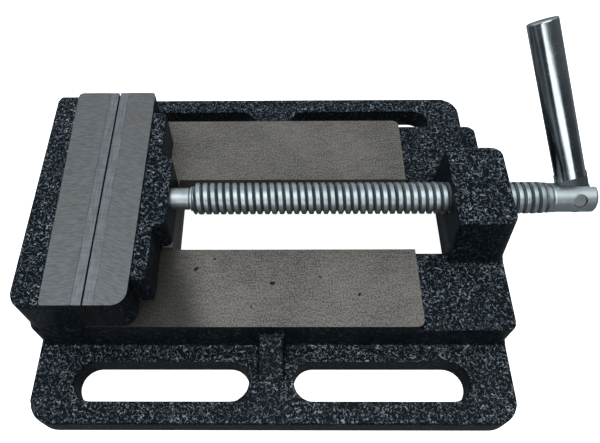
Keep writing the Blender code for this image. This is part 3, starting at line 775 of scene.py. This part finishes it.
def bright_zinc(nodes):
    """Bluish zinc plate: clean on the crests, rougher in the hollows with painted shade darkening them, and a few
    scuffs.
    """
    place = position(nodes)
    cloud = ramp(mottle(nodes, place, 5 * mm, 3.0), 0.3, 0.7)
    scuff = ramp(mottle(nodes, place, 0.8 * mm, 3.0), 0.6, 0.72)
    hollow = ramp(nodes.node("NewGeometry", {}, {}, "Pointiness"), 0.5, 0.42)
    plate = mixed(cloud, colour(152, 164, 168), colour(178, 188, 192))
    # Painted shade: the thread's hollows are darkened as the shade in the grooves; only the extra roughness there
    # is the zinc's own.
    zinc_with_groove_shade = mixed(hollow * 0.75, plate, colour(62, 68, 73))
    return {
        "Base Color": mixed(scuff * 0.3, zinc_with_groove_shade, colour(120, 122, 122)),
        "Metallic": 1.0,
        "Roughness": 0.42 + scuff * 0.1 + hollow * 0.15,
        "Normal": relief(mottle(nodes, place, 0.7 * mm, 3.0), 0.02 * mm, 0.5),
    }


zinc = finish("zinc plate", bright_zinc)


def thread_height(share):
    """Height of the rolled thread over its root, across one pitch: a wide flat crest and a narrow groove."""
    flank = min(1, min(share, 1 - share) / 0.27)
    return flank * flank * (3 - 2 * flank)


def screw_thread(sides=56, rows=12):
    bm = bmesh.new()
    columns = []
    turns = math.ceil((thread_right - thread_left) / pitch) + 2
    for side in range(sides):
        turn = 2 * math.pi * side / sides
        column = []
        for row in range(turns * rows + 1):
            x = thread_left + pitch * (row / rows - 1 + side / sides)
            x = min(max(x, thread_left), thread_right)
            lead_in = min(1, max(0, (x - thread_left) / mm))
            run_out = min(1, max(0, (thread_right - x) / (6 * mm)))
            lift = (thread_radius - root_radius) * thread_height(row / rows % 1) * lead_in
            radius = plain_radius + (root_radius + lift - plain_radius) * run_out
            column.append(bm.verts.new((x, radius * math.cos(turn), radius * math.sin(turn))))
        columns.append(column)
    columns.append(columns[0][rows:])
    for column, following in zip(columns, columns[1:]):
        for row in range((turns - 1) * rows):
            bm.faces.new((column[row], following[row], following[row + 1], column[row + 1]))
    bmesh.ops.remove_doubles(bm, verts=bm.verts, dist=1e-7)
    bmesh.ops.holes_fill(bm, edges=[edge for edge in bm.edges if edge.is_boundary], sides=0)
    return as_object("thread", bm)


tip = lathe("screw tip", [
    (tip_left, tip_radius - 0.8 * mm), (tip_left + 0.8 * mm, tip_radius),
    (groove_x - groove_half, tip_radius), (groove_x - groove_half, groove_radius),
    (groove_x + groove_half, groove_radius), (groove_x + groove_half, tip_radius),
    (thread_left - 1.4 * mm, tip_radius), (thread_left - 1.1 * mm, tip_radius - 0.35 * mm),
    (thread_left - 0.8 * mm, tip_radius - 0.35 * mm), (thread_left - 0.6 * mm, tip_radius + 0.5 * mm),
    (thread_left + 0.2 * mm, root_radius - 0.1 * mm),
], 56)
end_edge = 1.2 * mm
plain_profile = [(thread_right - 0.2 * mm, plain_radius - 0.1 * mm), (thread_right, plain_radius)]
for step in range(9):
    angle = math.pi / 2 * step / 8
    plain_profile.append((screw_right - end_edge * (1 - math.sin(angle)),
                          plain_radius - end_edge * (1 - math.cos(angle))))
plain_end = lathe("plain end", plain_profile, 96)
slot_cut = block("fork slot", (screw_right - fork_length, -fork_slot / 2, -9 * mm),
                 (screw_right + 2 * mm, fork_slot / 2, 9 * mm))
pin_cut = extruded("pin hole", disc(pin_hole_radius, hinge_x, 0, 48), -9 * mm, 9 * mm, "Y")
for turned_part in (tip, plain_end):
    turned_part.data.materials.append(zinc)
milled(plain_end, slot_cut, pin_cut, leaving=zinc)
edged(plain_end, 0.2 * mm, 2, 50)


def joined(name, *objects):
    """One object from several, each left as it is."""
    bm = bmesh.new()
    for part in objects:
        bm.from_mesh(part.data)
        bpy.data.objects.remove(part)
    return as_object(name, bm)


lead_screw = joined("vise_screw", tip, screw_thread(), plain_end)
lead_screw.data.materials.append(zinc)
smoothed(placed(lead_screw, screw_line), 40)
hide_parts("lead_screw")
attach(lead_screw, "screw")

# 6. Retaining pins
# Two hardened dowels, pushed up through the jaw's tongue. They ride in the groove of the screw's tip, so that
# the screw pulls the jaw back as well as pushing it.


def dowel_steel(nodes):
    marks = mottle(nodes, position(nodes, (1, 1, 0.15)), 0.5 * mm, 2.0)
    return {
        "Base Color": mixed(marks, colour(120, 122, 125), colour(158, 160, 163)),
        "Metallic": 1.0,
        "Roughness": 0.28 + marks * 0.1,
        "Normal": relief(marks, 0.01 * mm, 0.5),
    }


dowel = finish("dowel steel", dowel_steel)
for side in ("near", "far"):
    node = f"retaining_pin_{side}"
    low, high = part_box(node)
    outline = disc((high.x - low.x) / 2, (low.x + high.x) / 2, (low.y + high.y) / 2, 40)
    pin = edged(extruded("vise_" + node, outline, low.z, high.z), 0.3 * mm, 3)
    pin.data.materials.append(dowel)
    smoothed(pin)
    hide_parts(node)
    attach(pin, "jaw")

# 7. Keeper plate
# A flat steel bar under the two bed rails, bolted to the jaw's tongue. It holds the jaw down, and it is linished
# all over.

keeper_low, keeper_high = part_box("keeper_plate")
bolt_clearance_radius = 3.3 * mm


def linished(nodes):
    """Flat bar with upright marks from the belt."""
    marks = mottle(nodes, position(nodes, (1, 1, 0.1)), 0.6 * mm, 3.0)
    oil = ramp(mottle(nodes, position(nodes), 8 * mm, 3.0), 0.45, 0.7)
    return {
        "Base Color": mixed(marks * 0.7 + oil * 0.3, colour(136, 138, 140), colour(92, 92, 92)),
        "Metallic": 0.85,
        "Roughness": 0.4 - oil * 0.1,
        "Normal": relief(marks, 0.04 * mm, 0.6),
    }


flat_bar = finish("linished bar", linished)
keeper_outline = oblong(keeper_low.x, keeper_high.x, keeper_low.y, keeper_high.y, 2 * mm, 2 * mm)
keeper = extruded("vise_keeper", keeper_outline, keeper_low.z, keeper_high.z)
keeper.data.materials.append(flat_bar)
keeper_holes = []
for side in (-1, 1):
    hole_outline = disc(bolt_clearance_radius, bolt_x, side * bolt_y, 40)
    keeper_holes.append(extruded("hole", hole_outline, keeper_low.z - mm, keeper_high.z + mm))
milled(keeper, *keeper_holes, leaving=flat_bar)
smoothed(edged(keeper, 0.35 * mm, 3))
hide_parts("keeper_plate")
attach(keeper, "jaw")

# 8. Keeper bolts and washers
# Zinc-plated hex bolts that enter the tongue from below, each over a split spring washer and a flat washer.

split_width = 1.4 * mm
head_height = 4 * mm
across_flats = 10 * mm
bolt_crest = 2.95 * mm
bolt_root = 2.55 * mm
chamfer_radius = 5.9 * mm


def dull_zinc(nodes):
    place = position(nodes)
    cloud = mottle(nodes, place, 2.5 * mm, 3.0)
    return {
        "Base Color": mixed(cloud, colour(140, 146, 150), colour(186, 190, 192)),
        "Metallic": 1.0,
        "Roughness": 0.34 + cloud * 0.12,
        "Normal": relief(mottle(nodes, place, 0.5 * mm), 0.02 * mm, 0.5),
    }


fastener_zinc = finish("fastener zinc", dull_zinc)


def hex_bolt(node):
    low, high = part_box(node)
    x, y = (low.x + high.x) / 2, (low.y + high.y) / 2
    head_top = low.z + head_height
    head = extruded("vise_" + node, disc(across_flats / 2 / math.cos(math.pi / 6), sides=6), low.z, head_top)
    chamfer = lathe("chamfer", [
        (low.z - mm, 3.6 * mm),
        (low.z, 4.9 * mm),
        (low.z + 0.5 * mm, chamfer_radius),
        (high.z, chamfer_radius),
    ], 48)
    placed(chamfer, Matrix.Rotation(-math.pi / 2, 4, "Y"))
    combined(head, [chamfer], "INTERSECT")
    profile = [(head_top - 0.5 * mm, 2.9 * mm)]
    step = 0.5 * mm
    ridges = int((high.z - head_top - 2 * mm) / (2 * step))
    for ridge in range(ridges):
        height = head_top + mm + 2 * step * ridge
        profile += [(height, bolt_root), (height + step, bolt_crest)]
    profile.append((high.z, 2.4 * mm))
    shank = placed(lathe("shank", profile, 40), Matrix.Rotation(-math.pi / 2, 4, "Y"))
    return placed(welded(head, shank), Matrix.Translation((x, y, 0)))


def washer(node, split):
    low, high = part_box(node)
    radius = (high.x - low.x) / 2
    x, y = (low.x + high.x) / 2, (low.y + high.y) / 2
    ring = extruded("vise_" + node, disc(radius, x, y, 56), low.z, high.z)
    cutters = [extruded("hole", disc(bolt_clearance_radius, x, y, 48), low.z - mm, high.z + mm)]
    if split:
        split_low = (x - split_width / 2, y, low.z - mm)
        cutters.append(block("split", split_low, (x + split_width / 2, y + radius + mm, high.z + mm)))
    ring.data.materials.append(fastener_zinc)
    return edged(milled(ring, *cutters, leaving=fastener_zinc), 0.12 * mm)


for side in ("near", "far"):
    for kind in ("keeper_bolt", "flat_washer", "spring_washer"):
        node = f"{kind}_{side}"
        if kind == "keeper_bolt":
            piece = hex_bolt(node)
        else:
            piece = washer(node, split=kind == "spring_washer")
        piece.data.materials.clear()
        piece.data.materials.append(fastener_zinc)
        smoothed(piece)
        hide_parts(node)
        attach(piece, "jaw")

# 9. Hinge pin
# A plain steel rivet through the fork and the handle's tongue, finished flat just below the fork's surface.

hinge_recess = 0.4 * mm
hinge_half = plain_radius - hinge_recess
hinge_radius = 2.5 * mm


def rivet_steel(nodes):
    place = position(nodes)
    marks = mottle(nodes, place, 0.6 * mm, 3.0)
    return {
        "Base Color": mixed(marks, colour(128, 134, 138), colour(164, 169, 172)),
        "Metallic": 0.9,
        "Roughness": 0.36 + marks * 0.1,
        "Normal": relief(marks, 0.03 * mm, 0.5),
    }


hinge_pin = extruded("vise_hinge_pin", disc(hinge_radius, hinge_x, 0, 48), -hinge_half, hinge_half, "Y")
hinge_pin.data.materials.append(finish("rivet steel", rivet_steel))
smoothed(placed(edged(hinge_pin, 0.25 * mm, 3), screw_line))
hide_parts("hinge_pin")
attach(hinge_pin, "screw")

# 10. Folding handle
# Zinc-plated round bar. Its lower end is milled on both sides to a flat tongue that swings in the screw's fork.
# Its upper end is faced flat, with a small rounded edge.

handle_radius = 5.8 * mm
handle_length = 71.7 * mm
handle_edge = 0.8 * mm
handle_lean = math.radians(-17.3)
tongue_thickness = fork_slot - 2 * seat_gap
blade_radius = 5.6 * mm
shoulder = 8.8 * mm
shoulder_slope = 0.286


def drawn_zinc(nodes):
    """Bright plate over drawn bar: faint lengthwise lines and a few dings."""
    place = position(nodes)
    cloud = ramp(mottle(nodes, place, 9 * mm, 3.0), 0.3, 0.7)
    ding = ramp(mottle(nodes, place, 1.1 * mm, 2.0), 0.66, 0.74)
    return {
        "Base Color": mixed(ding * 0.3, mixed(cloud, colour(156, 166, 173), colour(180, 189, 194)),
                            colour(118, 122, 124)),
        "Metallic": 1.0,
        "Roughness": 0.17 + cloud * 0.05 + ding * 0.15,
        "Normal": relief(mottle(nodes, place, 0.9 * mm, 3.0), 0.012 * mm, 0.5),
    }


bar_zinc = finish("drawn zinc", drawn_zinc)
bar_profile = [(2 * mm, handle_radius)]
for step in range(9):
    angle = math.pi / 2 * step / 8
    bar_profile.append((handle_length - handle_edge * (1 - math.sin(angle)),
                        handle_radius - handle_edge * (1 - math.cos(angle))))
bar_profile.append((handle_length, 1.0 * mm))
bar_profile.append((handle_length - 0.15 * mm, 0.6 * mm))
handle = placed(lathe("vise_handle", bar_profile, 96), Matrix.Rotation(-math.pi / 2, 4, "Y"))
handle.data.materials.append(bar_zinc)
wide = handle_radius + 2 * mm
half = tongue_thickness / 2
shoulder_end = shoulder + (wide - half) * shoulder_slope
shoulder_cut = extruded("shoulder cut", [
    Vector((-wide, -2 * mm)), Vector((wide, -2 * mm)), Vector((wide, shoulder_end)),
    Vector((half, shoulder)), Vector((-half, shoulder)), Vector((-wide, shoulder_end)),
], -wide, wide, "X")
milled(handle, shoulder_cut, leaving=bar_zinc)
blade = extruded("blade", rounded([
    (-blade_radius, shoulder + 2 * mm, 0), (-blade_radius, -blade_radius, blade_radius),
    (blade_radius, -blade_radius, blade_radius), (blade_radius, shoulder + 2 * mm, 0),
], 20), -half, half, "Y")
blade.data.materials.append(bar_zinc)
welded(handle, blade)
pivot_radius = hinge_radius + 0.25 * mm
milled(handle, extruded("pivot", disc(pivot_radius, sides=48), -wide, wide, "Y"), leaving=bar_zinc)
edged(handle, 0.22 * mm, 2, 40)
placed(handle, Matrix.Rotation(handle_lean, 4, "Y"), Matrix.Translation((hinge_x, 0, 0)), screw_line)
smoothed(handle, 40)
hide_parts("handle_bar")
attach(handle, "handle")

# 11. Floor, light and camera
# The vise stands on a plain white sweep. A large soft light overhead and lower ones in front and at the left
# light it. The room is bright above and behind and dim in front, so that polished metal shows bands.


def white_sweep(nodes):
    """White to the eye, and mid-grey in what the vise mirrors."""
    seen = nodes.node("LightPath", {}, {}, "Is Camera Ray")
    return {
        "Base Color": mixed(seen, (0.18, 0.19, 0.2), (0.9, 0.9, 0.9)),
        "Roughness": 0.9,
        "Specular IOR Level": 0.1,
        "Emission Color": mixed(seen, (0.04, 0.043, 0.046), (0.92, 0.92, 0.92)),
        "Emission Strength": 1.0,
    }


floor_half = 2.2
floor = extruded("floor", oblong(-floor_half, floor_half, -floor_half, floor_half, 0.4, 0.4), -4 * mm, -0.2 * mm)
floor.data.materials.append(finish("white sweep", white_sweep))


def soft_light(name, place, target, size, power):
    lamp = bpy.data.lights.new(name, "AREA")
    lamp.shape = "RECTANGLE"
    lamp.size, lamp.size_y = size
    lamp.energy = power
    obj = bpy.data.objects.new(name, lamp)
    bpy.context.scene.collection.objects.link(obj)
    aim = (Vector(target) - Vector(place)).to_track_quat("-Z", "Y")
    obj.matrix_world = Matrix.Translation(place) @ aim.to_matrix().to_4x4()


soft_light("front softbox", (-0.05, -1.0, 0.55), (0, 0, 0.02), (1.0, 0.35), 3.2)
soft_light("top light", (0.05, -0.25, 1.2), (0, 0, 0), (1.3, 1.1), 9.5)
soft_light("left fill", (-1.0, 0.1, 0.5), (0, 0, 0.02), (0.4, 0.8), 1)

world = bpy.data.worlds.new("studio")
world.use_nodes = True
room = Signal(world.node_tree)
direction = room.node("TexCoord", {}, {}, "Generated")
ceiling = along(room, direction, "Z") * 0.7 + along(room, direction, "Y") * 0.7
shade = mixed(ramp(ceiling, -0.1, 0.95), (0.045, 0.048, 0.052), (0.66, 0.69, 0.71))
plug(world.node_tree.nodes["Background"].inputs["Color"], shade)
bpy.context.scene.world = world

camera_data = bpy.data.cameras.new("camera")
camera = bpy.data.objects.new("camera", camera_data)
bpy.context.scene.collection.objects.link(camera)
camera_data.sensor_width = 36
camera_data.lens = 35.684
camera_data.shift_x = 0.04355
camera_data.shift_y = 0.00566
tilt = math.radians(58.9235)
heading = math.radians(-1.4258)
roll = math.radians(-1.3783)
eye = Vector((-0.01368, -0.13496, 0.24449))
forward = Vector((math.sin(heading) * math.cos(tilt), math.cos(heading) * math.cos(tilt), -math.sin(tilt)))
level = Vector((math.cos(heading), -math.sin(heading), 0))
upright = level.cross(forward)
across = math.cos(roll) * level + math.sin(roll) * upright
up = math.cos(roll) * upright - math.sin(roll) * level
camera.matrix_world = Matrix((
    (across.x, up.x, -forward.x, eye.x),
    (across.y, up.y, -forward.y, eye.y),
    (across.z, up.z, -forward.z, eye.z),
    (0, 0, 0, 1),
))
camera_data.clip_start = 0.01
bpy.context.scene.camera = camera
bpy.context.scene.view_settings.view_transform = "Standard"
